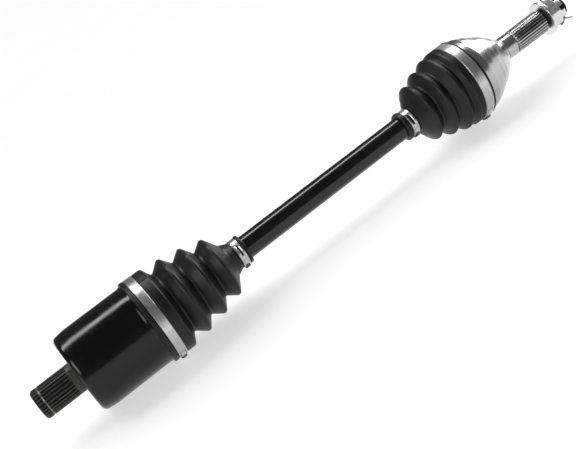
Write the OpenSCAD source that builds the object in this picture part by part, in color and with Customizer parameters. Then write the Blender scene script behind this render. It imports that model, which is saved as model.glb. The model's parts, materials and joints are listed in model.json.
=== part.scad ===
// CV half shaft for a utility vehicle: a solid bar with a plunging ball joint at the
// gearbox end, a fixed ball joint at the wheel end, and a convoluted boot over each.
// Millimetres. The axle lies along X, +X points to the wheel and +Z points up.
// The origin is on the axis, in the middle of the 12 mm wheel-bearing seat of the journal.

/* [Axle bar] */
// Diameter of the solid bar between the joints
bar_d = 22.5; // [21.5:0.25:23.5]
// Distance between the two joint centres
joint_span = 400; // [390:1:470]
// Distance from the wheel-side joint centre to the middle of the bearing journal
stub_reach = 55; // [54:0.5:58]

/* [Ball joints] */
// Diameter of the gearbox-side balls
inboard_ball_d = 16; // [15:0.25:16]
// Diameter of the wheel-side balls
outboard_ball_d = 14.5; // [14:0.25:14.75]
// Pitch circle diameter of the gearbox-side balls
inboard_pitch_d = 54; // [53.5:0.25:54.5]
// Pitch circle diameter of the wheel-side balls
outboard_pitch_d = 51; // [50.5:0.25:51.5]
// Outer diameter of the gearbox-side ball cage
inboard_cage_d = 62.4; // [62:0.1:62.6]
// Outer diameter of the wheel-side ball cage
outboard_cage_d = 58.4; // [58:0.1:58.6]
// Wall of both ball cages
cage_wall = 5.2; // [4.8:0.1:5.6]
// Side room of a ball in a gearbox-side track
inboard_track_room = 0.6; // [0.55:0.05:0.8]
// Side room of a ball in a wheel-side track
outboard_track_room = 1.05; // [1:0.05:1.2]

/* [Gearbox end] */
// Outer diameter of the plunge cup
cup_d = 80; // [80:0.5:83]
// Diameter over the splines of the gearbox stub
inboard_spline_d = 29; // [26:0.5:30]
// Number of teeth of the gearbox spline
inboard_spline_teeth = 27; // [22:1:30]
// Length of the gearbox stub outside the cup
inboard_stub_len = 41.5; // [38:0.5:60]

/* [Wheel end] */
// Outer diameter of the wheel-side joint bell
bell_d = 77.8; // [77:0.2:80]
// Diameter of the bearing journal
journal_d = 24; // [24:0.5:25]
// Diameter over the splines of the wheel stub
outboard_spline_d = 24; // [23:0.5:24]
// Number of teeth of the wheel spline
outboard_spline_teeth = 26; // [22:1:30]
// Length of the wheel spline
outboard_spline_len = 39; // [36:0.5:46]
// Diameter of the threaded end
thread_d = 18; // [16:0.5:18.5]

/* [Boots and clamps] */
// Thickness of the rubber at the boot ends
boot_wall = 2.4; // [2:0.1:2.6]
// Thickness of the clamp bands
band_t = 0.8; // [0.6:0.1:1]
// Clock angle of the clamp ears, from straight down towards the front
ear_turn = 18; // [0:1:60]

/* [Hidden] */
$fn = 96;
TRACKS = 3;
BALLS = 2 * TRACKS;
RUN = 0.3;
SNUG = 0.05;
ARC_STEPS = 6;

bar_r = bar_d / 2;
inboard_ball_r = inboard_ball_d / 2;
outboard_ball_r = outboard_ball_d / 2;
inboard_cage_r = inboard_cage_d / 2;
outboard_cage_r = outboard_cage_d / 2;
SPHERE_ROOM = 0.4;
inboard_socket_r = inboard_cage_r + SPHERE_ROOM;
outboard_socket_r = outboard_cage_r + SPHERE_ROOM;
cup_r = cup_d / 2;
bell_r = bell_d / 2;
inboard_pitch_r = inboard_pitch_d / 2;
outboard_pitch_r = outboard_pitch_d / 2;
inboard_track_r = inboard_ball_r + inboard_track_room;
outboard_track_r = outboard_ball_r + outboard_track_room;

// Joint centres and the stations along the axle
outboard_x = -stub_reach;
inboard_x = outboard_x - joint_span;
cup_face_x = inboard_x - 56.5;
cup_floor_x = cup_face_x + 12.5;
cup_mouth_x = inboard_x + 33;
stub_tip_x = cup_face_x - inboard_stub_len;
bell_mouth_x = outboard_x - 14;
bell_floor_x = outboard_x + 22.5;
journal_end_x = 6;
shoulder_x = -9;
spline_start_x = journal_end_x + 1.3;
spline_end_x = spline_start_x + outboard_spline_len;
washer_t = 3.3;
nut_len = 17.5;
washer_x = spline_end_x + 2.2;
nut_x = washer_x + washer_t + SNUG;
slot_depth = 6;
cotter_x = nut_x + nut_len - 3.1;
thread_end_x = nut_x + nut_len + 5;
cotter_turn = 40;
cotter_wire = 1.7;

// Boot seats: where each boot end and its clamp sit
inboard_lip_x = cup_mouth_x - 15.3;
inboard_band_x = cup_mouth_x - 10.4;
inboard_band_w = 8.4;
outboard_band_x = bell_mouth_x + 3.4;
outboard_band_w = 10;
inboard_neck_x = cup_mouth_x + 84.8;
outboard_neck_x = bell_mouth_x - 63;
neck_band_w = 7;
neck_r = bar_r + 1.95;
inboard_collar_r = cup_r + 1.7;
outboard_collar_r = bell_r + 1.5;

INBOARD_BALLS = [for (i = [1 : BALLS]) str("inboard_ball_", i)];
OUTBOARD_BALLS = [for (i = [1 : BALLS]) str("outboard_ball_", i)];

// ---- Helpers ----

// Stands something that was drawn along Z on the axle, starting at station x
module along_x(x = 0) translate([x, 0, 0]) rotate([0, 90, 0]) children();

// Turns an outline of [radius, station] points about the axle
module turned(x, outline) along_x(x) rotate_extrude() polygon(outline);

// A round bar along the axle from station a to station b
module rod(a, b, r) along_x(a) cylinder(h = b - a, r = r);

// The arc that rounds corner b between a and c
function corner_arc(a, b, c, r) =
    let (u = (a - b) / norm(a - b),
         v = (c - b) / norm(c - b),
         half = acos(u * v) / 2,
         centre = b + (u + v) / norm(u + v) * (r / sin(half)),
         p = b + u * (r / tan(half)) - centre,
         q = b + v * (r / tan(half)) - centre,
         start = atan2(p[1], p[0]),
         turn = (atan2(q[1], q[0]) - start + 540) % 360 - 180)
    [for (i = [0 : ARC_STEPS]) let (t = start + turn * i / ARC_STEPS) centre + r * [cos(t), sin(t)]];

function flat(p) = [p[0], p[1]];

// An outline of [radius, station, rounding] corners with its corners rounded
function rounded(corners) =
    let (n = len(corners))
    [for (i = [0 : n - 1])
        let (a = flat(corners[(i + n - 1) % n]),
             b = flat(corners[i]),
             c = flat(corners[(i + 1) % n]))
        each (corners[i][2] > 0 ? corner_arc(a, b, c, corners[i][2]) : [b])];

// Trapezoid spline teeth
function spline_outline(teeth, r, depth) =
    let (pitch = 360 / teeth)
    [for (i = [0 : teeth - 1])
        for (p = [[-0.16, r], [0.16, r], [0.3, r - depth], [0.7, r - depth]])
            p[1] * [cos((i + p[0]) * pitch), sin((i + p[0]) * pitch)]];

// A splined length from station a to station b, with both ends chamfered
module spline(a, b, teeth, r, depth, chamfer) {
    run_out = depth + 0.3;
    intersection() {
        along_x(a) linear_extrude(b - a) polygon(spline_outline(teeth, r, depth));
        turned(a, [[0, 0], [r - chamfer, 0], [r + SNUG, chamfer + SNUG],
                   [r + SNUG, b - a - run_out], [r - run_out, b - a + SNUG], [0, b - a + SNUG]]);
    }
}

// An open wire ring round the axle
module wire_ring(x, r, wire_r, gap) {
    difference() {
        along_x(x) rotate_extrude() translate([r, 0]) circle(r = wire_r);
        translate([x - 2 * wire_r, -gap / 2, 0]) cube([4 * wire_r, gap, r + 2 * wire_r]);
    }
}

// Ring-shaped ball tracks about a joint centre
module round_tracks(x, pitch_r, track_r) {
    for (i = [0 : TRACKS - 1])
        translate([x, 0, 0]) rotate([i * 180 / TRACKS, 0, 0])
            rotate_extrude() translate([pitch_r, 0]) circle(r = track_r);
}

// Six ball tracks that each reach so many degrees to both sides of the joint centre
module arc_tracks(x, pitch_r, track_r, reach) {
    for (i = [0 : BALLS - 1])
        translate([x, 0, 0]) rotate([i * 360 / BALLS, 0, 0]) rotate(90 - reach)
            rotate_extrude(angle = 2 * reach) translate([pitch_r, 0]) circle(r = track_r);
}

// ---- Ball joints ----

module ball(x, pitch_r, r, i) {
    turn = (i - 1) * 360 / BALLS;
    color("gainsboro") translate([x, pitch_r * cos(turn), pitch_r * sin(turn)]) sphere(r = r);
}

// A zone of a ball-shaped shell about a joint centre, between bore_r and r
module round_zone(x, r, bore_r, half_len) {
    along_x(x) rotate_extrude() difference() {
        intersection() {
            circle(r = r);
            translate([0, -half_len]) square([r + 1, 2 * half_len]);
        }
        circle(r = bore_r);
    }
}

module ball_cage(x, r, pitch_r, ball_r, half_len) {
    window_r = ball_r + 0.15;
    window_len = 2 * ball_r + 3.2;
    color("dimgray") difference() {
        round_zone(x, r, r - cage_wall, half_len);
        for (i = [0 : BALLS - 1]) translate([x, 0, 0]) rotate([i * 360 / BALLS, 0, 0])
            translate([-window_r, pitch_r / 2, -window_len / 2])
                cube([2 * window_r, pitch_r, window_len]);
    }
}

module inner_race(x, cage_r, pitch_r, track_r) {
    race_r = cage_r - cage_wall - SPHERE_ROOM;
    color("silver") difference() {
        intersection() {
            translate([x, 0, 0]) sphere(r = race_r);
            rod(x - race_half, x + race_half, race_r + 1);
        }
        round_tracks(x, pitch_r, track_r);
        along_x(x - race_half - 1) linear_extrude(2 * race_half + 2)
            polygon(spline_outline(24, bar_r - 0.3 + SNUG, 1.1 - SNUG));
    }
}

race_half = 12;
inboard_cage_half = 15;
outboard_cage_half = 13;
race_ring_r = bar_r - 0.9;
race_ring_wire = 0.85;
race_ring_gap = 1.2;

module inboard_inner_race() inner_race(inboard_x, inboard_cage_r, inboard_pitch_r, inboard_track_r);

module outboard_inner_race() inner_race(outboard_x, outboard_cage_r, outboard_pitch_r, outboard_track_r);

module inboard_cage() {
    ball_cage(inboard_x, inboard_cage_r, inboard_pitch_r, inboard_ball_r, inboard_cage_half);
}

module outboard_cage() {
    ball_cage(outboard_x, outboard_cage_r, outboard_pitch_r, outboard_ball_r, outboard_cage_half);
}

module inboard_race_circlip() {
    color("dimgray") wire_ring(inboard_x - race_half - race_ring_gap, race_ring_r, race_ring_wire, 5);
}

module outboard_race_circlip() {
    color("dimgray") wire_ring(outboard_x + race_half + race_ring_gap, race_ring_r, race_ring_wire, 5);
}

// ---- Axle bar ----

module ring_groove(x, r, half_w) {
    difference() {
        rod(x - half_w, x + half_w, bar_r + 1);
        rod(x - half_w, x + half_w, r);
    }
}

module axle_bar() {
    end_len = 3.4;
    a = inboard_x - race_half - end_len;
    b = outboard_x + race_half + end_len;
    stop = race_half + 0.1;
    relief_r = bar_r - 1.6;
    color("black") difference() {
        union() {
            spline(a, inboard_x + stop + 1, 24, bar_r - 0.3, 1.1, 0.8);
            mirror([1, 0, 0]) spline(-b, -outboard_x + stop + 1, 24, bar_r - 0.3, 1.1, 0.8);
            turned(inboard_x + stop, [[0, 0], [bar_r + 1, 0], [bar_r + 1, 4], [bar_r, 8],
                [bar_r, joint_span - 2 * stop - 8], [bar_r + 1, joint_span - 2 * stop - 4],
                [bar_r + 1, joint_span - 2 * stop], [0, joint_span - 2 * stop]]);
        }
        ring_groove(inboard_x - race_half - race_ring_gap, relief_r - 0.3, race_ring_wire + SNUG);
        ring_groove(outboard_x + race_half + race_ring_gap, relief_r - 0.3, race_ring_wire + SNUG);
    }
}

// ---- Gearbox-side housing ----

stub_groove_x = stub_tip_x + 7.4;
stub_ring_wire = 0.8;
stub_ring_r = inboard_spline_d / 2 - 1.1;
stop_ring_x = cup_mouth_x - 4;
stop_ring_r = inboard_socket_r - 0.2;
stop_ring_wire = 1.2;

module cup_outside() {
    turned(cup_face_x, rounded([[0, 0, 0], [cup_r - 1.6, 0, 5], [cup_r, 13, 3],
        [cup_r, inboard_lip_x - cup_face_x - 3, 1.5], [cup_r + 0.6, inboard_lip_x - cup_face_x - 1, 0.8],
        [cup_r + 0.6, inboard_lip_x - cup_face_x - SNUG, 0], [cup_r, inboard_lip_x - cup_face_x - SNUG, 0],
        [cup_r, cup_mouth_x - cup_face_x, 1], [0, cup_mouth_x - cup_face_x, 0]]));
}

module inboard_housing() {
    spline_r = inboard_spline_d / 2;
    neck_len = 5.5;
    color("black") difference() {
        union() {
            cup_outside();
            rod(cup_face_x - neck_len - 1, cup_face_x + 1, spline_r + 0.1);
            spline(stub_tip_x, cup_face_x - neck_len, inboard_spline_teeth, spline_r, 1.5, 2);
        }
        difference() {
            rod(stub_groove_x - stub_ring_wire - SNUG, stub_groove_x + stub_ring_wire + SNUG, spline_r + 1);
            rod(stub_groove_x - stub_ring_wire - SNUG, stub_groove_x + stub_ring_wire + SNUG,
                stub_ring_r - stub_ring_wire - SNUG);
        }
        rod(cup_floor_x, cup_mouth_x + 1, inboard_socket_r);
        for (i = [0 : BALLS - 1]) rotate([i * 360 / BALLS, 0, 0]) translate([0, inboard_pitch_r, 0])
            rod(cup_floor_x + 2, cup_mouth_x + 1, inboard_track_r);
        along_x(stop_ring_x) rotate_extrude() translate([stop_ring_r, 0])
            circle(r = stop_ring_wire + SNUG);
    }
}

module inboard_stub_circlip() color("silver") wire_ring(stub_groove_x, stub_ring_r, stub_ring_wire, 4);

module inboard_stop_ring() color("dimgray") wire_ring(stop_ring_x, stop_ring_r, stop_ring_wire, 9);

// ---- Wheel-side housing ----

module bell_outside() {
    m = bell_mouth_x;
    seat_end = outboard_band_x + outboard_band_w + 2.6;
    neck_x = shoulder_x - 7.5;
    bell_neck_r = 21.8;
    shoulder_r = 15.6;
    turned(0, rounded([[0, m, 0], [bell_r - 1, m, 1], [bell_r - 1, seat_end, 0], [bell_r, seat_end + 0.8, 0],
        [bell_r, seat_end + 5, 9], [bell_neck_r, neck_x, 3],
        [shoulder_r, shoulder_x - 1, 0], [shoulder_r - 0.6, shoulder_x, 0], [0, shoulder_x, 0]]));
}

module outboard_housing() {
    thread_r = thread_d / 2;
    spline_r = outboard_spline_d / 2;
    journal_r = journal_d / 2;
    relief_r = journal_r - 0.6;
    track_reach = 40;
    color("lightsteelblue") difference() {
        union() {
            bell_outside();
            rod(shoulder_x - 1, -journal_end_x, relief_r);
            rod(-journal_end_x, journal_end_x, journal_r);
            rod(journal_end_x - 1, spline_start_x + 1, spline_r - 1.6);
            spline(spline_start_x, spline_end_x, outboard_spline_teeth, spline_r, 1.5, 1);
            turned(spline_end_x - 1, [[0, 0], [thread_r, 0],
                [thread_r, thread_end_x - spline_end_x - 0.5], [thread_r - 1.5, thread_end_x - spline_end_x + 1],
                [0, thread_end_x - spline_end_x + 1]]);
        }
        round_zone(outboard_x, outboard_socket_r, 0, bell_floor_x - outboard_x);
        arc_tracks(outboard_x, outboard_pitch_r, outboard_track_r, track_reach);
        rotate([-cotter_turn, 0, 0]) translate([cotter_x, 0, 0])
            cylinder(h = 3 * thread_d, r = cotter_wire + 0.4, center = true);
    }
}

// ---- Hub hardware ----

module hub_washer() {
    washer_r = 18.2;
    color("silver") difference() {
        turned(washer_x, rounded([[0, 0, 0], [washer_r, 0, 0.6], [washer_r, washer_t, 0.6], [0, washer_t, 0]]));
        rod(washer_x - 1, washer_x + washer_t + 1, thread_d / 2 + SNUG);
    }
}

module castle_nut() {
    flats = 27;
    crown_r = 12.2;
    slot_w = 2 * cotter_wire + 1.4;
    hex_len = nut_len - slot_depth;
    color("silver") difference() {
        union() {
            intersection() {
                along_x(nut_x) rotate(90 - cotter_turn) cylinder(h = hex_len, d = flats / cos(30), $fn = 6);
                turned(nut_x, [[0, 0], [flats / 2 + 0.6, 0], [flats / 2 + 2.6, 1.6],
                    [flats / 2 + 2.6, hex_len - 1.6], [flats / 2, hex_len], [0, hex_len]]);
            }
            turned(nut_x + hex_len - 1, rounded([[0, 0, 0], [crown_r, 0, 0],
                [crown_r, slot_depth + 1, 1], [0, slot_depth + 1, 0]]));
        }
        rod(nut_x - 1, nut_x + nut_len + 1, thread_d / 2 + SNUG);
        for (i = [0 : 2]) rotate([i * 60 - cotter_turn, 0, 0])
            translate([nut_x + hex_len + 0.6, -slot_w / 2, -flats])
                cube([slot_depth + 1, slot_w, 2 * flats]);
    }
}

// A straight piece of wire from a to b
module wire(a, b, r) {
    d = b - a;
    translate(a) rotate([0, acos(d[2] / norm(d)), atan2(d[1], d[0])]) cylinder(h = norm(d), r = r, $fn = 32);
}

module cotter_pin() {
    r = cotter_wire / 2;
    knuckle_r = 1.07 * r;
    eye_r = 2.8;
    reach = 13.4;
    spread = 6.5;
    color("silver") rotate([-cotter_turn, 0, 0]) translate([cotter_x, 0, 0]) {
        for (side = [-1, 1]) {
            leg = side * (r + SNUG);
            bend = [leg, 0, -reach];
            wire([leg, 0, reach + r], bend, r);
            translate(bend) sphere(r = knuckle_r, $fn = 32);
            wire(bend, bend + [side * spread, 0, -spread / 2], r);
        }
        translate([0, 0, reach + eye_r + r]) rotate([90, 0, 0])
            rotate_extrude($fn = 48) translate([eye_r, 0]) circle(r = r, $fn = 32);
    }
}

// ---- Boots ----

// A boot from its outer corners [station, radius, rounding] and its end bores
module boot(corners, wall, bore_a, bore_b, seat_a, seat_b) {
    n = len(corners);
    outside = [for (c = corners) [c[1], c[0], c[2]]];
    inside = [for (i = [n - 1 : -1 : 0])
        let (c = corners[i])
        if (c[0] > seat_a + wall && c[0] < seat_b - wall) [c[1] - 1.5 * wall, c[0], c[2]]];
    color("#222222") along_x(0) rotate_extrude() polygon(rounded(concat(
        [[bore_a, corners[0][0], 0]], outside,
        [[bore_b, corners[n - 1][0], 0], [bore_b, seat_b, 0]],
        inside, [[bore_a, seat_a, 0]])));
}

module inboard_boot() {
    a = inboard_lip_x;
    k = inboard_collar_r;
    m = cup_mouth_x;
    n = inboard_neck_x;
    boot([[a, k + 0.9, 0.8], [a + 4, k + 0.9, 0.8], [a + 4.3, k, 0], [a + 13.9, k, 0],
          [a + 15, k + 0.3, 1], [m + 8, k + 0.3, 2.5], [m + 14, 31, 1.2], [m + 26, 40.6, 2.6], [m + 35, 28.5, 1.2],
          [m + 46.8, 36.9, 2.6], [m + 55.5, 23.6, 1.2], [m + 67, 31.7, 2.6], [m + 76.5, 16.8, 5],
          [n - 0.4, neck_r, 0], [n + neck_band_w + 0.4, neck_r, 0],
          [n + neck_band_w + 0.8, neck_r + 1.3, 1], [n + 12.4, neck_r + 1.3, 2], [n + 12.8, bar_r + 0.9, 0]],
        boot_wall, cup_r + RUN, bar_r + RUN, m + 0.5, n - 4);
}

module outboard_boot() {
    k = outboard_collar_r;
    m = bell_mouth_x;
    n = outboard_neck_x;
    boot([[n - 10, bar_r + 0.9, 0], [n - 9.6, neck_r + 1.3, 2], [n - 0.8, neck_r + 1.3, 1],
          [n - 0.4, neck_r, 0], [n + neck_band_w + 0.4, neck_r, 0], [n + neck_band_w + 1.4, neck_r + 1.4, 1],
          [n + 19, 30.9, 2.6], [n + 27, 25, 1.2], [n + 34.8, 36.4, 2.4], [n + 41.5, 30.8, 1.2],
          [n + 49.8, 40.3, 2], [n + 55.5, 36.4, 1.2], [m - 3.8, k + 0.6, 1.6], [m + 2.6, k + 0.6, 0.8],
          [m + 2.9, k, 0], [m + 13.9, k, 0], [m + 14.1, k + 0.7, 0.6], [m + 15.6, k + 0.7, 0.6]],
        boot_wall, bar_r + SNUG, bell_r - 1 + RUN, n + 8, m - 0.5);
}

// ---- Boot clamps ----

// A clamp band with a raised tail, a hook and a pinched ear
module band_clamp(x, r, w, ear_h) {
    tail = 7;
    color("lightgray") {
        difference() {
            rod(x, x + w, r + band_t);
            rod(x - 1, x + w + 1, r);
        }
        rotate([-ear_turn, 0, 0]) translate([x, 0, -r]) {
            translate([w * 0.15, -tail, -band_t - ear_h]) difference() {
                cube([w * 0.7, tail, ear_h + band_t]);
                translate([-1, 1, 1]) cube([w, tail - 2, ear_h + band_t]);
            }
        }
    }
}

module inboard_rim_clamp() {
    band_clamp(inboard_band_x, inboard_collar_r + RUN, inboard_band_w, 2.3);
}

module outboard_rim_clamp() {
    band_clamp(outboard_band_x, outboard_collar_r + RUN, outboard_band_w, 2.3);
}

module inboard_neck_clamp() {
    band_clamp(inboard_neck_x, neck_r + RUN, neck_band_w, 2.4);
}

module outboard_neck_clamp() {
    band_clamp(outboard_neck_x, neck_r + SNUG, neck_band_w, 2.4);
}

axle_bar();
inboard_inner_race();
inboard_race_circlip();
outboard_inner_race();
outboard_race_circlip();
inboard_neck_clamp();
outboard_neck_clamp();
inboard_cage();
inboard_boot();
inboard_housing();
inboard_stub_circlip();
inboard_stop_ring();
inboard_rim_clamp();
outboard_boot();
outboard_cage();
outboard_housing();
outboard_rim_clamp();
hub_washer();
castle_nut();
cotter_pin();
for (i = [1 : BALLS]) {
    ball(inboard_x, inboard_pitch_r, inboard_ball_r, i);
    ball(outboard_x, outboard_pitch_r, outboard_ball_r, i);
}
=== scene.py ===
import json
import math

import bmesh
import bpy
from mathutils import Matrix, Vector


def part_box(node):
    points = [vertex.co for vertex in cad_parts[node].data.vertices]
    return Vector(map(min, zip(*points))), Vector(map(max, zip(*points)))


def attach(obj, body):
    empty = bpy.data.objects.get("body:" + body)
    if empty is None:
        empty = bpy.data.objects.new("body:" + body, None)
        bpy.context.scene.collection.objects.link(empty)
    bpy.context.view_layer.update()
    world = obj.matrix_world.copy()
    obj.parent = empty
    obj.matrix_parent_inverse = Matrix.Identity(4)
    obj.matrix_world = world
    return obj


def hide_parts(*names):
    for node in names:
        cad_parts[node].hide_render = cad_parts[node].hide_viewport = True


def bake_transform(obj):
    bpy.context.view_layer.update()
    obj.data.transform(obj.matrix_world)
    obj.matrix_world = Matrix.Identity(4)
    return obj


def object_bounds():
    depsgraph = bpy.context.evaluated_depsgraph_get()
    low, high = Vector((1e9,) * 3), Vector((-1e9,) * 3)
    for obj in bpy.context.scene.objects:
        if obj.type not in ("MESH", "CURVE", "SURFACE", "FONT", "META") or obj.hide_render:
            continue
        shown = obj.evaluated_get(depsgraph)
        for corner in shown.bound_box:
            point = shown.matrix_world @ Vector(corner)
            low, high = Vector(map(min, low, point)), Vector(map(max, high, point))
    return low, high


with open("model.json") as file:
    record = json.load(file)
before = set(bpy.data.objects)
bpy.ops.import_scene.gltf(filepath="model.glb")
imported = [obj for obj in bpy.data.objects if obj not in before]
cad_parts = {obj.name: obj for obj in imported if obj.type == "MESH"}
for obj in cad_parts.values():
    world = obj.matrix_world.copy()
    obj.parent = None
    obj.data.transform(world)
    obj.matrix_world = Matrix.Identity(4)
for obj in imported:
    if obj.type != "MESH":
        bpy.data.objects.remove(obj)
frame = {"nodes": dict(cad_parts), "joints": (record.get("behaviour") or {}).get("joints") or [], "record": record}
cad_box = [list(corner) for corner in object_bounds()]

MM = 0.001
TAU = 2 * math.pi

# ---- Stations and radii along the axle, from the frame ----

outboard_x = next(j["pos_m"][0] for j in frame["joints"] if j["name"] == "outboard_yaw")

mount = {m["name"]: m for m in frame["record"]["mounts"]}
stub_tip_x, cup_mouth_x = (p.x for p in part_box("inboard_housing"))
bell_mouth_x, thread_end_x = (p.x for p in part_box("outboard_housing"))
cup_face_x = mount["inboard_shoulder"]["pos_m"][0]
shoulder_x = mount["outboard_shoulder"]["pos_m"][0]
washer_x = mount["hub_clamp_face"]["pos_m"][0]
journal_r = mount["outboard_journal"]["dims"]["r_mm"] * MM
stub_neck_r = mount["inboard_seal_neck"]["dims"]["r_mm"] * MM
cup_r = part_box("inboard_housing")[1].z - 0.6 * MM
bell_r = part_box("outboard_housing")[1].z
bar_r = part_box("axle_bar")[1].z - MM
neck_r = bar_r + 1.95 * MM
floor_z = cad_box[0][2]


# ---- Mesh helpers ----

def corner_arc(a, b, c, r, steps):
    """The points of an arc of radius r that rounds corner b of the line a, b, c."""
    u, v = (a - b).normalized(), (c - b).normalized()
    half = u.angle(v) / 2
    reach = min(r / math.tan(half), 0.48 * (a - b).length, 0.48 * (c - b).length)
    r = reach * math.tan(half)
    middle = b + (u + v).normalized() * (r / math.sin(half))
    p, q = b + u * reach - middle, b + v * reach - middle
    turn = math.pi - 2 * half
    return [middle + (p * math.sin((1 - k / steps) * turn) + q * math.sin(k / steps * turn)) / math.sin(turn)
            for k in range(steps + 1)]


def rounded(corners, closed=True, steps=6):
    """A line of [station, radius, rounding] corners, in metres, with its corners rounded."""
    points = []
    count = len(corners)
    for i, (x, r, rounding) in enumerate(corners):
        here = Vector((x, r))
        inner = closed or 0 < i < count - 1
        if rounding > 0 and inner:
            before = Vector(corners[i - 1][:2])
            after = Vector(corners[(i + 1) % count][:2])
            points += corner_arc(before, here, after, rounding, steps)
        else:
            points.append(here)
    return points


def divided(points, step=8 * MM, margin=0.3 * MM, closed=True):
    """The same line with no stretch longer than step, and a point close to each end of a long stretch."""
    out = []
    count = len(points)
    for i in range(count if closed else count - 1):
        a, b = points[i], points[(i + 1) % count]
        length = (b - a).length
        if length < 4 * margin:
            out.append(a)
            continue
        near = margin / length
        parts = max(1, math.ceil(length / step))
        out += [a] + [a.lerp(b, near + k / parts * (1 - 2 * near)) for k in range(parts + 1)]
    return out if closed else out + [points[-1]]


def outline(x0, corners, step=8 * MM, steps=6, closed=True):
    """A divided line from [station, radius, rounding] corners in millimetres, with stations counted from x0."""
    metres = [(x0 + x * MM, r * MM, rounding * MM) for x, r, rounding in corners]
    return divided(rounded(metres, closed, steps), step, closed=closed)


def new_object(name, verts, faces, material, sharp=35):
    mesh = bpy.data.meshes.new(name)
    mesh.from_pydata(verts, [], faces)
    mesh.validate()
    bm = bmesh.new()
    bm.from_mesh(mesh)
    bmesh.ops.delete(bm, geom=[v for v in bm.verts if not v.link_faces], context="VERTS")
    bmesh.ops.recalc_face_normals(bm, faces=bm.faces)
    bm.to_mesh(mesh)
    bm.free()
    mesh.shade_smooth()
    mesh.set_sharp_from_angle(angle=math.radians(sharp))
    obj = bpy.data.objects.new(name, mesh)
    bpy.context.scene.collection.objects.link(obj)
    mesh.materials.append(material)
    return obj


def even(count):
    return [TAU * k / count for k in range(count)]


def turned(name, line, material, angles=None, radius_at=None, sharp=35):
    """A solid of revolution about the axle from a closed line of (station, radius) points.
    radius_at(station, radius, angle) may change the radius with the angle. Points on the axis become poles."""
    angles = angles or even(160)
    count = len(angles)
    verts, rings = [], []
    for x, r in [p for i, p in enumerate(line) if (p - line[i - 1]).length > 1e-8]:
        if r < 1e-7:
            rings.append([len(verts)])
            verts.append((x, 0.0, 0.0))
            continue
        rings.append(list(range(len(verts), len(verts) + count)))
        for angle in angles:
            rr = radius_at(x, r, angle) if radius_at else r
            verts.append((x, rr * math.cos(angle), rr * math.sin(angle)))
    faces = []
    for i, a in enumerate(rings):
        b = rings[(i + 1) % len(rings)]
        if len(a) == 1 and len(b) == 1:
            continue
        for k in range(count):
            j = (k + 1) % count
            if len(a) == 1:
                faces.append((a[0], b[j], b[k]))
            elif len(b) == 1:
                faces.append((a[k], a[j], b[0]))
            else:
                faces.append((a[k], a[j], b[j], b[k]))
    return new_object(name, verts, faces, material, sharp)


def strip(name, path, x0, width, thickness, material, closed=False, bevel=0.12 * MM, sharp=40):
    """A flat band with bevelled edges along a path of (y, z) points. Its inner face lies on the path."""
    count = len(path)
    section = [(bevel, 0), (width - bevel, 0), (width, bevel), (width, thickness - bevel),
               (width - bevel, thickness), (bevel, thickness), (0, thickness - bevel), (0, bevel)]
    verts, faces = [], []
    for i, p in enumerate(path):
        before = path[i - 1] if closed or i else p
        after = path[(i + 1) % count] if closed or i < count - 1 else p
        t = (after - before).normalized()
        normal = Vector((-t.y, t.x))
        for sx, sr in section:
            q = p + normal * sr
            verts.append((x0 + sx, q.x, q.y))
    side = len(section)
    for i in range(count if closed else count - 1):
        j = (i + 1) % count
        for k in range(side):
            n = (k + 1) % side
            faces.append((i * side + k, i * side + n, j * side + n, j * side + k))
    if not closed:
        faces.append(tuple(range(side)))
        faces.append(tuple((count - 1) * side + k for k in range(side)))
    return new_object(name, verts, faces, material, sharp)


def tube(name, points, radius, material, sides=16):
    """A round wire through points, with rounded ends."""
    verts, faces = [], []
    count = len(points)
    normal = None
    rings = []
    for i, p in enumerate(points):
        t = (points[min(i + 1, count - 1)] - points[max(i - 1, 0)]).normalized()
        if normal is None:
            normal = t.orthogonal().normalized()
        normal = (normal - t * normal.dot(t)).normalized()
        other = t.cross(normal)
        ring = []
        for k in range(sides):
            a = TAU * k / sides
            ring.append(len(verts))
            verts.append(p + radius * (math.cos(a) * normal + math.sin(a) * other))
        rings.append((ring, t))
    for i in range(count - 1):
        a, b = rings[i][0], rings[i + 1][0]
        for k in range(sides):
            j = (k + 1) % sides
            faces.append((a[k], a[j], b[j], b[k]))
    for (ring, t), p, sign in ((rings[0], points[0], -1), (rings[-1], points[-1], 1)):
        last = ring
        for step in (1, 2):
            lift, shrink = math.sin(step * math.pi / 6), math.cos(step * math.pi / 6)
            nxt = []
            for v in ring:
                nxt.append(len(verts))
                verts.append(p + (verts[v] - p) * shrink + t * (sign * radius * lift))
            for k in range(sides):
                j = (k + 1) % sides
                faces.append((last[k], last[j], nxt[j], nxt[k]))
            last = nxt
        pole = len(verts)
        verts.append(p + t * (sign * radius))
        for k in range(sides):
            faces.append((last[k], last[(k + 1) % sides], pole))
    return new_object(name, verts, faces, material)


# ---- Materials ----

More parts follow.
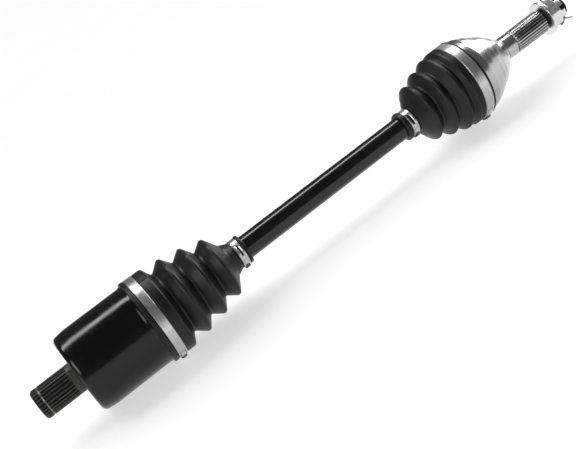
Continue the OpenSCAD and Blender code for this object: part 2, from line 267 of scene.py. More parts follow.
class Nodes:
    """A short way to build one material's nodes."""

    def __init__(self, name):
        self.material = bpy.data.materials.new(name)
        self.material.use_nodes = True
        self.tree = self.material.node_tree
        self.shader = self.tree.nodes["Principled BSDF"]
        self.place = self.add("ShaderNodeTexCoord").outputs["Object"]

    def add(self, kind, **sockets):
        node = self.tree.nodes.new(kind)
        for key, value in sockets.items():
            self.set(node, key, value)
        return node

    def set(self, node, key, value):
        socket = node.inputs[key.replace("_", " ")]
        if isinstance(value, bpy.types.NodeSocket):
            self.tree.links.new(value, socket)
        else:
            socket.default_value = value

    def put(self, **sockets):
        for key, value in sockets.items():
            self.set(self.shader, key, value)

    def stretch(self, x, y, z):
        """Object coordinates, scaled on each axis."""
        node = self.add("ShaderNodeMapping", Vector=self.place)
        node.inputs["Scale"].default_value = (x, y, z)
        return node.outputs["Vector"]

    def noise(self, scale, detail=4.0, rough=0.55, place=None):
        node = self.add("ShaderNodeTexNoise", Vector=place or self.place, Scale=scale,
                        Detail=detail, Roughness=rough)
        return node.outputs["Fac"]

    def ramp(self, value, low, high, to_low, to_high):
        node = self.add("ShaderNodeMapRange", Value=value, From_Min=low, From_Max=high,
                        To_Min=to_low, To_Max=to_high)
        return node.outputs["Result"]

    def mix(self, amount, a, b):
        node = self.tree.nodes.new("ShaderNodeMix")
        node.data_type = "RGBA"
        for socket, value in ((node.inputs[0], amount), (node.inputs[6], a), (node.inputs[7], b)):
            if isinstance(value, bpy.types.NodeSocket):
                self.tree.links.new(value, socket)
            else:
                socket.default_value = value
        return node.outputs[2]

    def math(self, kind, a, b=0.0):
        node = self.tree.nodes.new("ShaderNodeMath")
        node.operation = kind
        for socket, value in ((node.inputs[0], a), (node.inputs[1], b)):
            if isinstance(value, bpy.types.NodeSocket):
                self.tree.links.new(value, socket)
            else:
                socket.default_value = value
        return node.outputs[0]

    def bump(self, height, strength, distance):
        node = self.add("ShaderNodeBump", Height=height, Strength=strength, Distance=distance)
        return node.outputs["Normal"]

    def worn_edges(self, low, high):
        """0 on flat ground and 1 on sharp outer edges, broken up by noise."""
        sharp = self.add("ShaderNodeNewGeometry").outputs["Pointiness"]
        broken = self.math("ADD", sharp, self.math("MULTIPLY", self.noise(900), 0.04))
        return self.ramp(broken, low, high, 0.0, 1.0)


# Where the wear on a steel edge starts and where it is complete, on the scale of Pointiness
STEEL_EDGES = (0.53, 0.6)


def grey(v, warm=0.0):
    return (v * (1 + warm), v, v * (1 - warm), 1.0)


def gloss_black_paint(name, rough, shine):
    n = Nodes(name)
    haze = n.noise(70, 5)
    dust = n.noise(2600, 2)
    edges = n.worn_edges(0.56, 0.64)
    n.put(Base_Color=n.mix(edges, n.mix(haze, grey(0.004), grey(0.008)), grey(0.05)),
          Roughness=n.ramp(n.math("ADD", haze, n.math("MULTIPLY", dust, 0.3)), 0.35, 1.0, rough[0], rough[1]),
          Normal=n.bump(n.noise(420, 3), 0.05, 0.3 * MM))
    n.put(Specular_IOR_Level=shine)
    return n.material


def tooth_tone(n, low, high):
    """0 in the valleys of a spline and 1 on its crests, from the distance to the axle."""
    flat = n.add("ShaderNodeVectorMath")
    flat.operation = "MULTIPLY"
    n.tree.links.new(n.place, flat.inputs[0])
    flat.inputs[1].default_value = (0, 1, 1)
    length = n.add("ShaderNodeVectorMath")
    length.operation = "LENGTH"
    n.tree.links.new(flat.outputs["Vector"], length.inputs[0])
    return n.ramp(length.outputs["Value"], low, high, 0.0, 1.0)


def black_spline_steel():
    n = Nodes("black_spline_steel")
    haze = n.noise(300, 5)
    lines = n.noise(60, 3, place=n.stretch(1, 60, 60))
    crest = tooth_tone(n, stub_neck_r - 1.3 * MM, stub_neck_r - 0.1 * MM)
    # Lighter on the tooth crests than in the valleys, broken up by haze
    crest_tone = n.math("MULTIPLY", crest, n.ramp(haze, 0.3, 0.7, 0.4, 1.0))
    n.put(Base_Color=n.mix(crest_tone, grey(0.004, 0.03), grey(0.085, 0.04)),
          Roughness=n.ramp(lines, 0.3, 0.7, 0.34, 0.55), Metallic=0.45,
          Normal=n.bump(n.math("ADD", lines, n.noise(2500, 2)), 0.15, 0.15 * MM))
    return n.material


def machined_steel():
    n = Nodes("machined_steel")
    haze = n.noise(45, 5)
    fine = n.noise(1500, 2, place=n.stretch(1, 0, 0))
    broad = n.noise(170, 4, place=n.stretch(1, 0, 0))
    edges = n.worn_edges(*STEEL_EDGES)
    tone = n.math("ADD", n.math("MULTIPLY", fine, 0.35), n.math("MULTIPLY", broad, 0.65))
    n.put(Base_Color=n.mix(edges, n.mix(n.ramp(tone, 0.35, 0.65, 0, 1), grey(0.4), grey(0.6)), grey(0.8)),
          Roughness=n.ramp(n.math("ADD", tone, haze), 0.7, 1.3, 0.16, 0.3), Metallic=1.0,
          Normal=n.bump(tone, 0.1, 0.05 * MM))
    return n.material


def bright_spline_steel():
    n = Nodes("bright_spline")
    grain = n.noise(1800, 3)
    cloud = n.noise(150, 5)
    crest = tooth_tone(n, journal_r - 1.4 * MM, journal_r - 0.15 * MM)
    # The valleys are darkened with painted shade; the crests keep the steel's own tone
    n.put(Base_Color=n.mix(crest, grey(0.03, 0.02), n.mix(cloud, grey(0.5), grey(0.72))),
          Roughness=n.ramp(n.math("ADD", cloud, grain), 0.7, 1.3, 0.22, 0.36), Metallic=1.0,
          Normal=n.bump(grain, 0.08, 0.06 * MM))
    return n.material


def boot_rubber():
    n = Nodes("boot_rubber")
    grain = n.noise(2800, 3, 0.6)
    cloud = n.noise(60, 4)
    bloom = n.noise(240, 5)
    n.put(Base_Color=n.mix(n.ramp(bloom, 0.45, 0.75, 0.0, 0.6), grey(0.006), grey(0.015, -0.02)),
          Roughness=n.ramp(n.math("ADD", cloud, n.math("MULTIPLY", grain, 0.5)), 0.5, 1.0, 0.36, 0.52),
          Normal=n.bump(grain, 0.3, 0.12 * MM))
    n.put(Specular_IOR_Level=0.36)
    return n.material


def stainless_band():
    n = Nodes("stainless_band")
    streak = n.noise(2600, 3, place=n.stretch(1, 0.06, 0.06))
    cloud = n.noise(180, 5)
    edges = n.worn_edges(*STEEL_EDGES)
    tone = n.math("ADD", n.math("MULTIPLY", cloud, 0.5), n.math("MULTIPLY", streak, 0.5))
    n.put(Base_Color=n.mix(edges, n.mix(tone, grey(0.2, 0.02), grey(0.38, 0.01)), grey(0.62)),
          Roughness=n.ramp(n.math("ADD", streak, cloud), 0.7, 1.3, 0.26, 0.42), Metallic=1.0,
          Normal=n.bump(n.math("ADD", streak, n.noise(3000, 2)), 0.14, 0.1 * MM))
    return n.material


def plain_steel(name, low, high, rough):
    """Steel with a fine even grain, for the balls, races, rings, nut and washer."""
    n = Nodes(name)
    grain = n.noise(3000, 2)
    cloud = n.noise(150, 5)
    edges = n.worn_edges(*STEEL_EDGES)
    n.put(Base_Color=n.mix(edges, n.mix(cloud, grey(low), grey(high)), grey(min(1.0, high * 1.2))),
          Roughness=n.ramp(n.math("ADD", cloud, n.math("MULTIPLY", grain, 0.5)), 0.5, 1.0, rough[0], rough[1]),
          Metallic=1.0, Normal=n.bump(grain, 0.1, 0.08 * MM))
    return n.material


def pale_floor():
    n = Nodes("pale_floor")
    tone = n.noise(3, 3)
    n.put(Base_Color=n.mix(tone, grey(0.66), grey(0.7)), Roughness=n.ramp(tone, 0, 1, 0.55, 0.7))
    n.put(Emission_Color=grey(1.0), Emission_Strength=0.62)
    return n.material


def pale_wall():
    n = Nodes("pale_wall")
    tone = n.noise(3, 3)
    n.put(Base_Color=n.mix(tone, grey(0.02), grey(0.03)), Roughness=n.ramp(tone, 0, 1, 0.8, 0.9))
    n.put(Specular_IOR_Level=0.0, Emission_Color=grey(1.0), Emission_Strength=0.96)
    return n.material


paint = gloss_black_paint("gloss_black_paint", (0.1, 0.24), 0.34)
bar_paint = gloss_black_paint("bar_paint", (0.14, 0.26), 0.5)
spline_black = black_spline_steel()
bright = machined_steel()
bright_spline = bright_spline_steel()
# Steel darkened with painted shade, for the ear and latch hook that sit in shadow under each clamp
shaded_ear_steel = plain_steel("painted_shade_ear_steel", 0.05, 0.1, (0.32, 0.5))
rubber = boot_rubber()
band_steel = stainless_band()
slots = {
    "gloss_black_paint": paint,
    "machined_steel": bright,
    "hardened_steel": plain_steel("hardened_steel", 0.3, 0.4, (0.25, 0.4)),
    "polished_steel": plain_steel("polished_steel", 0.78, 0.86, (0.05, 0.1)),
    "spring_steel": plain_steel("spring_steel", 0.2, 0.3, (0.25, 0.38)),
    "stainless_band": band_steel,
    "boot_rubber": rubber,
    "zinc_plate": plain_steel("zinc_plate", 0.7, 0.82, (0.22, 0.36)),
}
slot_of = {row["node"]: row["material_slot"] for row in frame["record"]["subparts"]}
for node, obj in frame["nodes"].items():
    obj.data.materials.clear()
    obj.data.materials.append(slots[slot_of[node]])


def place(obj, body, slot, *nodes):
    """Rides a finished piece on its body and hides the nodes it stands for. Its slot is not used."""
    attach(obj, body)
    if nodes:
        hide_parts(*nodes)


# ---- Bar ----

def make_bar():
    low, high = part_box("axle_bar")
    r, tip = bar_r / MM, 15.5
    span = (high.x - low.x) / MM
    line = outline(low.x, [(0, 0, 0), (0, r - 1.2, 0.5), (tip, r - 1.2, 0), (tip, r + 1, 0), (tip + 4, r + 1, 2),
                           (tip + 8, r, 3), (span - tip - 8, r, 3), (span - tip - 4, r + 1, 2),
                           (span - tip, r + 1, 0), (span - tip, r - 1.2, 0), (span, r - 1.2, 0.5), (span, 0, 0)])
    place(turned("axle_bar_skin", line, bar_paint), "shaft", "gloss_black_paint", "axle_bar")


# ---- Splines and ball tracks ----

GEARBOX_TEETH = 27
WHEEL_TEETH = 26
SPLINE_DEPTH = 1.5 * MM
SPLINE_RUN_OUT = 1.9 * MM
CAGE_ROOM = 0.4 * MM
CUP_TRACK_ROOM = 0.6 * MM
BELL_TRACK_ROOM = 1.05 * MM

TOOTH = [(-0.5, 0), (-0.34, 0), (-0.28, 0.14), (-0.19, 0.86), (-0.15, 1), (0, 1),
         (0.15, 1), (0.19, 0.86), (0.28, 0.14), (0.34, 0)]


def tooth_angles(teeth):
    return [TAU * (i + at) / teeth for i in range(teeth) for at, _ in TOOTH]


def tooth_height(teeth, angle):
    """How high the spline's tooth stands at this angle: 0 in a valley and 1 on a crest."""
    at = (angle / TAU * teeth + 0.5) % 1 - 0.5
    return min(TOOTH, key=lambda row: min(abs(at - row[0]), abs(at - row[0] - 1)))[1]


def track_depth(r, angle, inside):
    """The radius of a socket wall at this angle, where inside(y, z) tells whether a point is in a ball track."""
    turn = (angle + TAU / 12) % (TAU / 6) - TAU / 12
    if not inside(r * math.cos(turn), r * math.sin(turn)):
        return r
    low, high = r, r + 14 * MM
    for _ in range(22):
        middle = (low + high) / 2
        if inside(middle * math.cos(turn), middle * math.sin(turn)):
            low = middle
        else:
            high = middle
    return low


def ball_size(node):
    low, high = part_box(node)
    return (low.y + high.y) / 2, (high.y - low.y) / 2


# ---- Gearbox-side housing ----

def make_cup():
    tip_r = stub_neck_r - 0.1 * MM
    spline_end = cup_face_x - 5.5 * MM
    groove = (stub_tip_x + 6.55 * MM, stub_tip_x + 8.25 * MM)
    pitch_r, ball_r = ball_size("inboard_ball_1")
    track_r = ball_r + CUP_TRACK_ROOM
    socket_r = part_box("inboard_cage")[1].z + CAGE_ROOM
    floor_x = cup_face_x + 12.5 * MM
    r, tip, c = cup_r / MM, tip_r / MM, (cup_face_x - stub_tip_x) / MM
    mouth = (cup_mouth_x - stub_tip_x) / MM
    lip = mouth - 15.3
    socket = socket_r / MM
    corners = [(0, 0, 0), (0, tip - 2, 0.3), (2, tip, 0), (6.55, tip, 0), (6.55, tip - 1.9, 0), (8.25, tip - 1.9, 0),
               (8.25, tip, 0), (c - 7.4, tip, 0), (c - 6.6, tip, 0), (c - 6.0, tip, 0), (c - 5.5, tip, 0),
               (c - 5.4, tip + 0.1, 0), (c, tip + 0.1, 0), (c, r - 1.6, 5), (c + 13, r, 3), (lip - 3, r, 1.5),
               (lip - 1, r + 0.6, 0.8), (lip - 0.1, r + 0.6, 0), (lip - 0.1, r, 0), (mouth, r, 1),
               (mouth, socket + 0.8, 0), (mouth - 0.8, socket, 0), (c + 14.5, socket, 0), (c + 12.5, socket, 0),
               (c + 12.5, 0, 0)]

    def radius_at(x, rr, angle):
        if x < spline_end and rr > tip_r - 1.7 * MM and not groove[0] - 1e-5 < x - 1e-6 < groove[1] - 2e-5:
            fade = min(1, max(0, (spline_end - x) / SPLINE_RUN_OUT))
            return min(rr, tip_r - SPLINE_DEPTH * fade * (1 - tooth_height(GEARBOX_TEETH, angle)))
        if x > floor_x + 1.5 * MM and abs(rr - socket_r) < MM and x < cup_mouth_x + 1e-6:
            return track_depth(rr, angle, lambda y, z: math.hypot(y - pitch_r, z) < track_r)
        return rr

    line = outline(stub_tip_x, corners)
    cup = turned("gearbox_housing_forging", line, paint, tooth_angles(GEARBOX_TEETH), radius_at)
    cup.data.materials.append(spline_black)
    for face in cup.data.polygons:
        if max(cup.data.vertices[v].co.x for v in face.vertices) < cup_face_x + 1e-6:
            face.material_index = 1
    place(cup, "inboard_cup", "gloss_black_paint", "inboard_housing")


def ring_wire(name, node, wire_r, gap, material, body, slot):
    """An open wire ring that fills the box of its CAD node."""
    low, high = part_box(node)
    r = high.y - wire_r
    half = gap / 2 / r
    points = [Vector(((low.x + high.x) / 2, r * math.sin(half + k / 90 * (TAU - 2 * half)),
                      r * math.cos(half + k / 90 * (TAU - 2 * half)))) for k in range(91)]
    place(tube(name, points, wire_r * 0.98, material, 20), body, slot, node)


# ---- Wheel-side housing ----

def make_bell():
    tip_r = journal_r
    relief = 0.6
    s = (shoulder_x - bell_mouth_x) / MM
    j = s + 15
    start = j + 1.3
    end = (washer_x - bell_mouth_x) / MM - 2.2
    stop = (thread_end_x - bell_mouth_x) / MM
    spline_start, spline_end = bell_mouth_x + start * MM, bell_mouth_x + end * MM
    socket = (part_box("outboard_cage")[1].z + CAGE_ROOM) / MM
    pitch_r, ball_r = ball_size("outboard_ball_1")
    track_r = ball_r + BELL_TRACK_ROOM
    centre = (outboard_x - bell_mouth_x) / MM
    floor = centre + 22.5
    r, t, g = bell_r / MM, tip_r / MM, 9.0
    seat = 3.4 + 10 + 2.6
    corners = [(0, r - 1, 1), (seat, r - 1, 0.2), (seat + 0.8, r, 0.3), (seat + 6.5, r, 9), (s - 29, 35.3, 22),
               (s - 15, 27.4, 22), (s - 7.5, 21.8, 3), (s - 1, 15.6, 0.6), (s, 15, 0.3),
               (s, t - relief, 0.3), (s + 2.6, t - relief, 0),
               (s + 3, t - 0.2, 0), (s + 3.2, t, 0), (j - 0.8, t, 0), (j, t - 0.8, 0), (j, t - 1.6, 0),
               (start, t - 1.6, 0), (start, t - 1, 0), (start + 1, t, 0), (end - 1.9, t, 0), (end - 1.2, t, 0),
               (end - 0.6, t - 0.7, 0), (end, t - 1.6, 0), (end, g, 0)]
    pitch = 1.5
    turns = int((stop - end - 2) / pitch)
    for k in range(turns):
        at = end + 0.6 + k * pitch
        corners += [(at, g, 0), (at + 0.15 * pitch, g, 0), (at + 0.45 * pitch, g - 0.55, 0),
                    (at + 0.6 * pitch, g - 0.55, 0), (at + 0.9 * pitch, g, 0)]
    corners += [(stop - 1.2, g, 0), (stop, g - 1.3, 0.3), (stop, 0, 0), (floor, 0, 0)]
    reach = math.sqrt(socket ** 2 - (floor - centre) ** 2)
    corners.append((floor, reach, 0))
    for k in range(1, 40):
        x = floor - k / 40 * floor
        corners.append((x, math.sqrt(socket ** 2 - (x - centre) ** 2), 0))
    corners.append((0, math.sqrt(socket ** 2 - centre ** 2), 0))

    def inside(x):
        return lambda y, z: math.hypot(math.hypot(x - outboard_x, y) - pitch_r, z) < track_r

    def radius_at(x, rr, angle):
        if spline_start - 1e-6 < x < spline_end + 1e-6 and rr > tip_r - 1.55 * MM:
            fade = min(1, max(0, (x - spline_start + 1e-9) / SPLINE_RUN_OUT))
            return min(rr, tip_r - SPLINE_DEPTH * fade * (1 - tooth_height(WHEEL_TEETH, angle)))
        if x < outboard_x + 19 * MM and abs(math.hypot(x - outboard_x, rr) - socket * MM) < 0.02 * MM:
            return min(track_depth(rr, angle, inside(x)), bell_r - 3 * MM)
        return rr

    line = outline(bell_mouth_x, corners)
    bell = turned("wheel_housing_forging", line, bright, tooth_angles(WHEEL_TEETH), radius_at, sharp=33)
    bell.data.materials.append(bright_spline)
    for face in bell.data.polygons:
        if min(bell.data.vertices[v].co.x for v in face.vertices) > spline_start - 1e-5:
            face.material_index = 1
    place(bell, "outboard_bell", "machined_steel", "outboard_housing")


# ---- Boots ----

MOULD_SEAMS = (112, 292)
SEAM_HEIGHT = 0.3 * MM

def part_line(points, a, b):
    """The stretch of a line of rising stations between stations a and b, with new points at both ends."""
    def at(x):
        for p, q in zip(points, points[1:]):
            if p.x <= x <= q.x and q.x > p.x:
                return p.lerp(q, (x - p.x) / (q.x - p.x))
        return points[0] if x < points[0].x else points[-1]

    inner = [p for p in points if a + 1e-5 < p.x < b - 1e-5]
    first = points[0] if a <= points[0].x else at(a)
    last = points[-1] if b >= points[-1].x else at(b)
    return [first] + inner + [last]


def boot_pieces(name, outer, inner, cuts, bends):
    """A boot cut across the axle into closed rings of rubber, one for each entry of bends. bends holds
    (one body, other body, station where it follows the one, station where it follows the other)."""
    seams = [math.radians(turn) for turn in MOULD_SEAMS]
    angles = sorted(even(164) + [seam + math.radians(step) for seam in seams for step in (-0.9, -0.35, 0.35, 0.9)])
    tops = {(round(p.x, 7), round(p.y, 7)) for p in outer}

    def with_seam(x, r, angle):
        on_seam = min(abs(angle - seam) for seam in seams) < math.radians(0.5)
        return r + SEAM_HEIGHT if on_seam and r > neck_r + 2 * MM and (round(x, 7), round(r, 7)) in tops else r

    for i, (one, other, start, end) in enumerate(bends):
        a, b = cuts[i], cuts[i + 1]
        top = part_line(outer, a, b)
        low = part_line(inner, a, b)
        ring = top + low[::-1]
        piece = turned(f"{name}_{i + 1}", ring, rubber, angles, with_seam, sharp=50)
        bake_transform(piece)
        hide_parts(name)


def boot_lines(corners, wall, bore_a, bore_b, seat_a, seat_b):
    """The outer and inner lines of a boot, in metres, from absolute corners in millimetres."""
    outer = outline(0, [(corners[0][0], bore_a, 0)] + corners + [(corners[-1][0], bore_b, 0)],
                    1.2 * MM, 10, closed=False)
    walls = [(x, r - wall, rounding) for x, r, rounding in corners if seat_a + wall < x < seat_b - wall]
    inner = outline(0, [(corners[0][0], bore_a, 0), (seat_a, bore_a, 0)] + walls +
                    [(seat_b, bore_b, 0), (corners[-1][0], bore_b, 0)], 1.6 * MM, 6, closed=False)
    return outer, inner


def make_inboard_boot():
    m = cup_mouth_x / MM
    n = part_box("inboard_neck_clamp")[0].x / MM
    k, neck, bar = (cup_r / MM) + 1.7, neck_r / MM, bar_r / MM
    a = m - 15.3
    corners = [(a, k + 0.9, 0.7), (a + 4, k + 0.9, 0.7), (a + 4.3, k, 0), (a + 13.9, k, 0),
               (a + 15, k + 0.3, 1), (m + 8, k + 0.3, 2.5), (m + 14, 31, 1.8), (m + 26, 40.6, 2.6),
               (m + 35, 28.5, 1.8), (m + 46.8, 36.9, 2.6), (m + 55.5, 23.6, 1.8), (m + 67, 31.7, 2.6),
               (m + 76.5, 16.8, 5), (n - 0.4, neck, 0.3), (n + 7.4, neck, 0.3), (n + 7.8, neck + 1.4, 0.9),
               (n + 10.4, neck + 1.4, 1.2), (n + 10.8, bar + 0.9, 0)]
    outer, inner = boot_lines(corners, 3.2, cup_r / MM + 0.3, bar + 0.3, m + 0.5, n - 4)
    cuts = [a * MM, (m + 23) * MM, (m + 38.5) * MM, (m + 52) * MM, (m + 63.5) * MM, (n + 11) * MM]
    bends = [("inboard_cup", "inboard_bellows", (m + 3) * MM, cuts[1]),
             ("inboard_bellows", "inboard_trail_ball", cuts[1], cuts[2]),
             ("inboard_cage_set", "inboard_trail_ball", cuts[3], cuts[2]),
             ("inboard_lead_ball", "inboard_cage_set", cuts[4], cuts[3]),
             ("inboard_lead_ball", "shaft", cuts[4], (m + 82.5) * MM)]
    boot_pieces("inboard_boot", outer, inner, cuts, bends)


def make_outboard_boot():
    m = bell_mouth_x / MM
    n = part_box("outboard_neck_clamp")[0].x / MM
    k, neck, bar = (bell_r / MM) + 1.5, neck_r / MM, bar_r / MM
    corners = [(n - 5.6, bar + 0.9, 0), (n - 5.2, neck + 1.3, 1.6), (n - 0.8, neck + 1.3, 0.9), (n - 0.4, neck, 0.3),
               (n + 7.4, neck, 0.3), (n + 8.4, neck + 1.4, 1), (n + 19, 30.9, 2.6), (n + 27, 25, 1.8),
               (n + 34.8, 36.4, 2.4), (n + 41.5, 30.8, 1.6), (n + 49.8, 40.3, 2), (n + 55.5, 36.4, 1.4),
               (m - 3.8, k + 0.6, 1.6)] + [
               (m - 1.6 + 1.3 * i + step, k + 0.6 - drop, 0.1) for i in range(3)
               for step, drop in ((-0.3, 0), (-0.05, 0.4), (0.25, 0.4), (0.5, 0))] + [
               (m + 2.6, k + 0.6, 0.8), (m + 2.9, k, 0), (m + 13.9, k, 0),
               (m + 14.1, k + 0.7, 0.5), (m + 15.6, k + 0.7, 0.5)]
    outer, inner = boot_lines(corners, 2.1, bar + 0.1, bell_r / MM - 0.7, n + 8, m - 0.5)
    cuts = [(n - 6) * MM, (n + 15) * MM, (n + 27) * MM, (n + 41.5) * MM, (m + 15.6) * MM]
    bends = [("shaft", "outboard_lead_ball", (n + 7.5) * MM, cuts[1]),
             ("outboard_cage_set", "outboard_lead_ball", cuts[2], cuts[1]),
             ("outboard_cage_set", "outboard_trail_ball", cuts[2], cuts[3]),
             ("outboard_trail_ball", "outboard_bell", cuts[3], (m - 3) * MM)]
    boot_pieces("outboard_boot", outer, inner, cuts, bends)


# ---- Boot clamps ----

def polar(r, turn):
    """A (y, z) point at radius r. turn is in degrees from straight down towards the front."""
    a = math.radians(turn)
    return Vector((-r * math.sin(a), -r * math.cos(a)))


def arc(r, start, end, step=2.0):
    count = max(2, math.ceil(abs(end - start) / step))
    return [polar(r, start + (end - start) * k / count) for k in range(count + 1)]


def joined(name, pieces):
    """One object from several closed pieces."""
    bm = bmesh.new()
    for obj in pieces:
        bm.from_mesh(obj.data)
    mesh = bpy.data.meshes.new(name)
    bm.to_mesh(mesh)
    bm.free()
    mesh.materials.append(pieces[0].data.materials[0])
    for obj in pieces:
        bpy.data.objects.remove(obj)
    result = bpy.data.objects.new(name, mesh)
    bpy.context.scene.collection.objects.link(result)
    return result


def cut(obj, *cutters):
    """Cuts closed meshes out of a piece and keeps the result as plain mesh."""
    for cutter in cutters:
        change = obj.modifiers.new("cut", "BOOLEAN")
        change.operation = "DIFFERENCE"
        change.solver = "EXACT"
        change.object = cutter
    graph = bpy.context.evaluated_depsgraph_get()
    mesh = bpy.data.meshes.new_from_object(obj.evaluated_get(graph))
    obj.modifiers.clear()
    obj.data = mesh
    for cutter in cutters:
        bpy.data.objects.remove(cutter)
    return obj


def make_clamp(node, body, ear_turn, big):
    """A band with a tail lapped over it, a cross slit, a raised tongue, a latch hook and a pinched ear."""
    low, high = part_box(node)
    x0, w = low.x, high.x - low.x
    r = high.z - 0.8 * MM
    t = 0.38 * MM
    layer = t + 0.02 * MM
    per_mm = math.degrees(MM / r)

    def at(lift, along):
        """A point this high above the band's inside and this far, in millimetres, up the front from the ear."""
        return polar(r + lift * MM, ear_turn + along * per_mm)

    band = strip("band", arc(r, 0, 360)[:-1], x0, w, t, band_steel, closed=True)
    tail_end = 158
    tail = strip("tail", arc(r + layer, ear_turn + 3 * per_mm, tail_end), x0 + 0.05 * w, 0.9 * w, t, band_steel)
    length = 10 if big else 5
    foot = 8 if big else 7
    if big:
        top = foot + length + 1.2
        slits = [(ear_turn + top * per_mm, ear_turn + (top + 0.8) * per_mm, 0.16, 0.66)] + [
                 (ear_turn + foot * per_mm, ear_turn + (top - 0.2) * per_mm, start, 0.07) for start in (0.16, 0.75)]
    else:
        slits = [(90, 138, 0.4, 0.2), (ear_turn + 4.6 * per_mm, ear_turn + 5.6 * per_mm, 0.16, 0.68)]
    for layer_piece in (band, tail):
        cut(layer_piece, *[strip("slit", arc(r - 0.3 * MM, first, last, 0.5), x0 + start * w, part * w, 3 * MM,
                                 band_steel, bevel=1e-6) for first, last, start, part in slits])
    tongue = strip("tongue", [at(0.5, foot), at(0.85, foot + 0.5), at(0.95, foot + 1), at(0.95, foot + length),
                              at(0.85, foot + length + 0.5), at(0.5, foot + length + 1)],
                   x0 + 0.24 * w, 0.5 * w, 0.36 * MM, band_steel)
    clamp = joined(node + "_band", [band, tail, tongue])
    place(clamp, body, "stainless_band", node)

    # The ear and hook take the steel darkened with painted shade, standing in for the shadow they sit in
    ear = strip("ear", [at(0.5, -3.3), at(0.9, -2.8), at(1.3, -2.9), at(1.6, -2.4), at(2.1, 1.7), at(1.9, 2.2),
                        at(1.0, 2.2), at(0.5, 2.6)], x0 + 0.17 * w, 0.66 * w, 0.42 * MM, shaded_ear_steel)
    hook = strip("hook", [at(2.0, 3.3), at(2.35, 4.0), at(2.1, 5.1), at(1.4, 5.6), at(0.8, 6.9)],
                 x0 + 0.3 * w, 0.4 * w, 0.42 * MM, shaded_ear_steel)
    pinch = joined(node + "_ear", [ear, hook])
    place(pinch, body, "stainless_band")


# ---- Hub hardware ----

def make_washer():
    low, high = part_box("hub_washer")
    r, t = high.z / MM, (high.x - low.x) / MM
    line = outline(low.x, [(0, 9.1, 0), (0, r, 0.6), (t, r, 0.6), (t, 9.1, 0)])
    place(turned("hub_washer_plate", line, slots["zinc_plate"]), "outboard_bell", "zinc_plate", "hub_washer")


def box_mesh(name, low, high, turn, material):
    """A plain box, turned about the axle."""
    verts = [(x, y, z) for x in (low[0], high[0]) for y in (low[1], high[1]) for z in (low[2], high[2])]
    verts = [Matrix.Rotation(turn, 3, "X") @ Vector(v) for v in verts]
    faces = [(0, 1, 3, 2), (4, 6, 7, 5), (0, 4, 5, 1), (2, 3, 7, 6), (0, 2, 6, 4), (1, 5, 7, 3)]
    return new_object(name, verts, faces, material)


COTTER_TURN = math.radians(-40)


def make_nut():
    low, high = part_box("castle_nut")
    length = (high.x - low.x) / MM
    flat, crown, slot_len = 13.5, 12.2, 6
    hexagon = length - slot_len
    half = flat * MM
    line = outline(low.x, [(0, 9.1, 0), (0, flat + 0.6, 0), (1.6, flat + 2.6, 0), (hexagon - 1.6, flat + 2.6, 0),
                           (hexagon, flat, 0), (hexagon + 0.2, crown, 0), (length, crown, 1), (length, 9.9, 0),
                           (length - 0.8, 9.1, 0)], step=1.5 * MM)

    def radius_at(x, rr, angle):
        if rr < half - 1e-6 or x > low.x + hexagon * MM + 1e-6:
            return rr
        turn = (angle - math.pi / 2 - COTTER_TURN) % (TAU / 6) - TAU / 12
        return min(rr, half / math.cos(turn))

    zinc = slots["zinc_plate"]
    nut = turned("castle_nut_body", line, zinc, even(192), radius_at, sharp=25)
    slot_w = 2.4 * MM
    start = low.x + (hexagon + 0.6) * MM
    cutters = [box_mesh("slot", (start, -slot_w, -20 * MM), (start + 9 * MM, slot_w, 20 * MM),
                        i * TAU / 6 + COTTER_TURN, zinc) for i in range(3)]
    cut(nut, *cutters)
    nut.data.shade_smooth()
    nut.data.set_sharp_from_angle(angle=math.radians(25))
    place(nut, "outboard_bell", "zinc_plate", "castle_nut")


def make_cotter():
    low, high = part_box("cotter_pin")
    middle = (low.x + high.x) / 2
    r, eye_r, reach, spread = 0.85, 2.8, 13.4, 6.2
    eye_z = reach + eye_r + r
    spot = r + 0.05
    points = [(-spot - spread, -reach - spread / 2), (-spot - 1.2, -reach - 0.7), (-spot - 0.25, -reach - 0.1),
              (-spot, -reach + 0.9), (-spot, 0), (-spot, reach - 0.6)]
    points += [(-eye_r * math.sin(a), eye_z - eye_r * math.cos(a))
               for a in [math.radians(25 + 310 * k / 28) for k in range(29)]]
    points += [(spot, reach - 0.6), (spot, 0), (spot, -reach + 0.9), (spot + 0.25, -reach - 0.1),
               (spot + 1.2, -reach - 0.7), (spot + spread, -reach - spread / 2)]
    turn = Matrix.Rotation(COTTER_TURN, 3, "X")
    path = [Vector((middle, 0, 0)) + turn @ Vector((x * MM, 0, z * MM)) for x, z in points]
    pin = tube("cotter_pin_wire", path, 0.84 * MM, slots["spring_steel"], 16)
    place(pin, "outboard_bell", "zinc_plate", "cotter_pin")


make_bar()
make_cup()
make_bell()
make_inboard_boot()
make_outboard_boot()
EAR_TURN = 18
make_clamp("inboard_rim_clamp", "inboard_cup", EAR_TURN, True)
make_clamp("outboard_rim_clamp", "outboard_bell", EAR_TURN, True)
make_clamp("inboard_neck_clamp", "shaft", EAR_TURN, False)
make_clamp("outboard_neck_clamp", "shaft", EAR_TURN, False)
ring_wire("stub_snap_ring", "inboard_stub_circlip", 0.8 * MM, 4 * MM, slots["spring_steel"], "inboard_cup",
          "spring_steel")
make_washer()
make_nut()
make_cotter()


# ---- Stage ----

FLOOR_HALF = 60.0
WALL_RADIUS = 20.0
WALL_HEIGHT = 30.0
WALL_SIDES = 96


def make_floor():
    half = FLOOR_HALF
    mesh = bpy.data.meshes.new("floor")
    mesh.from_pydata([(-half, -half, 0), (half, -half, 0), (half, half, 0), (-half, half, 0)], [], [(0, 1, 2, 3)])
    mesh.materials.append(pale_floor())
    floor = bpy.data.objects.new("floor", mesh)
    floor.location = (0, 0, floor_z)
    bpy.context.scene.collection.objects.link(floor)


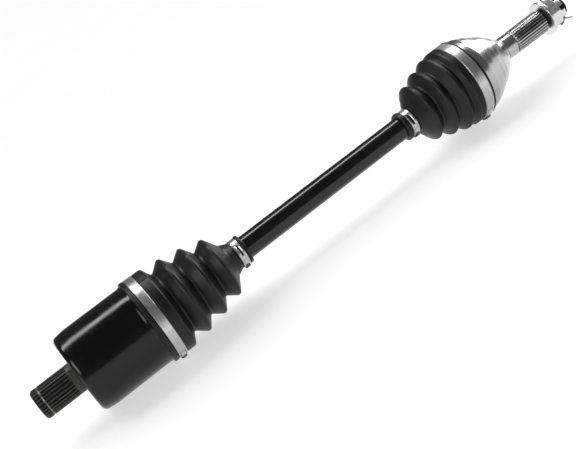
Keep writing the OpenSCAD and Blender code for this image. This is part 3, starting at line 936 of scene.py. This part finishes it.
def make_wall():
    """A far pale wall round the floor, which only the camera sees."""
    n = WALL_SIDES
    ring = [(WALL_RADIUS * math.cos(a), WALL_RADIUS * math.sin(a)) for a in even(n)]
    verts = [(x, y, z) for z in (-1.0, WALL_HEIGHT) for x, y in ring]
    faces = [(i, (i + 1) % n, n + (i + 1) % n, n + i) for i in range(n)]
    wall = new_object("wall", verts, faces, pale_wall())
    wall.visible_diffuse = wall.visible_glossy = wall.visible_transmission = wall.visible_shadow = False


LENS = 65.6
AXLE_ROLL = math.radians(37.59)
TILT_AWAY = math.radians(12.69)
ELEVATION = math.radians(20)
DISTANCE = 0.9627
AIM_X = -0.278
AIM_LEFT = 0.0019
AIM_UP = 0.0074


def make_camera():
    """Looks across the axle from the front, a little above it, with the wheel end up and further away."""
    axis = Vector((1, 0, 0))
    toward = Vector((0, -math.cos(ELEVATION), math.sin(ELEVATION)))
    forward = math.sin(TILT_AWAY) * axis - math.cos(TILT_AWAY) * toward
    along = (axis - math.sin(TILT_AWAY) * forward) / math.cos(TILT_AWAY)
    across = axis.cross(toward)
    right = math.cos(AXLE_ROLL) * along + math.sin(AXLE_ROLL) * across
    down = math.cos(AXLE_ROLL) * across - math.sin(AXLE_ROLL) * along
    data = bpy.data.cameras.new("camera")
    data.lens = LENS
    data.sensor_width = 36
    data.clip_start = 0.01
    camera = bpy.data.objects.new("camera", data)
    spot = Vector((AIM_X, 0, 0)) + AIM_LEFT * right + AIM_UP * down - DISTANCE * forward
    camera.matrix_world = Matrix.Translation(spot) @ Matrix((right, -down, -forward)).transposed().to_4x4()
    bpy.context.scene.collection.objects.link(camera)
    bpy.context.scene.camera = camera


def area_light(name, spot, target, size, size_y, power):
    data = bpy.data.lights.new(name, "AREA")
    data.shape = "RECTANGLE"
    data.size, data.size_y = size, size_y
    data.energy = power
    light = bpy.data.objects.new(name, data)
    light.location = spot
    facing = (Vector(spot) - Vector(target)).normalized()
    side = Vector((1, 0, 0)) - facing * facing.x
    side.normalize()
    light.matrix_world = Matrix.Translation(spot) @ Matrix((side, facing.cross(side), facing)).transposed().to_4x4()
    bpy.context.scene.collection.objects.link(light)
    return light


def make_lights():
    """An overhead strip for the streak along the cylinders, a box for the bell, and a soft sun for the floor."""
    strip_light = area_light("strip", (-0.15, 0.28, 0.95), (-0.25, 0, 0), 1.7, 0.2, 11)
    box_light = area_light("box", (0.82, 0.3, 0.5), (-0.03, 0, 0), 0.5, 0.75, 9)
    side_light = area_light("side", (-1.1, -0.55, 0.5), (-0.3, 0, 0), 0.5, 0.6, 5)
    for lamp in (strip_light, box_light, side_light):
        lamp.visible_camera = False
        lamp.visible_diffuse = False
    data = bpy.data.lights.new("sun", "SUN")
    data.energy = 2.0
    data.angle = math.radians(60)
    sun = bpy.data.objects.new("sun", data)
    sun.rotation_euler = (math.radians(-38), math.radians(-24), 0)
    sun.visible_glossy = False
    bpy.context.scene.collection.objects.link(sun)
    world = bpy.data.worlds.new("studio")
    world.use_nodes = True
    back = world.node_tree.nodes["Background"]
    back.inputs["Color"].default_value = (1, 1, 1, 1)
    back.inputs["Strength"].default_value = 0.12
    bpy.context.scene.world = world


make_floor()
make_wall()
make_camera()
make_lights()
bpy.context.scene.view_settings.view_transform = "Standard"
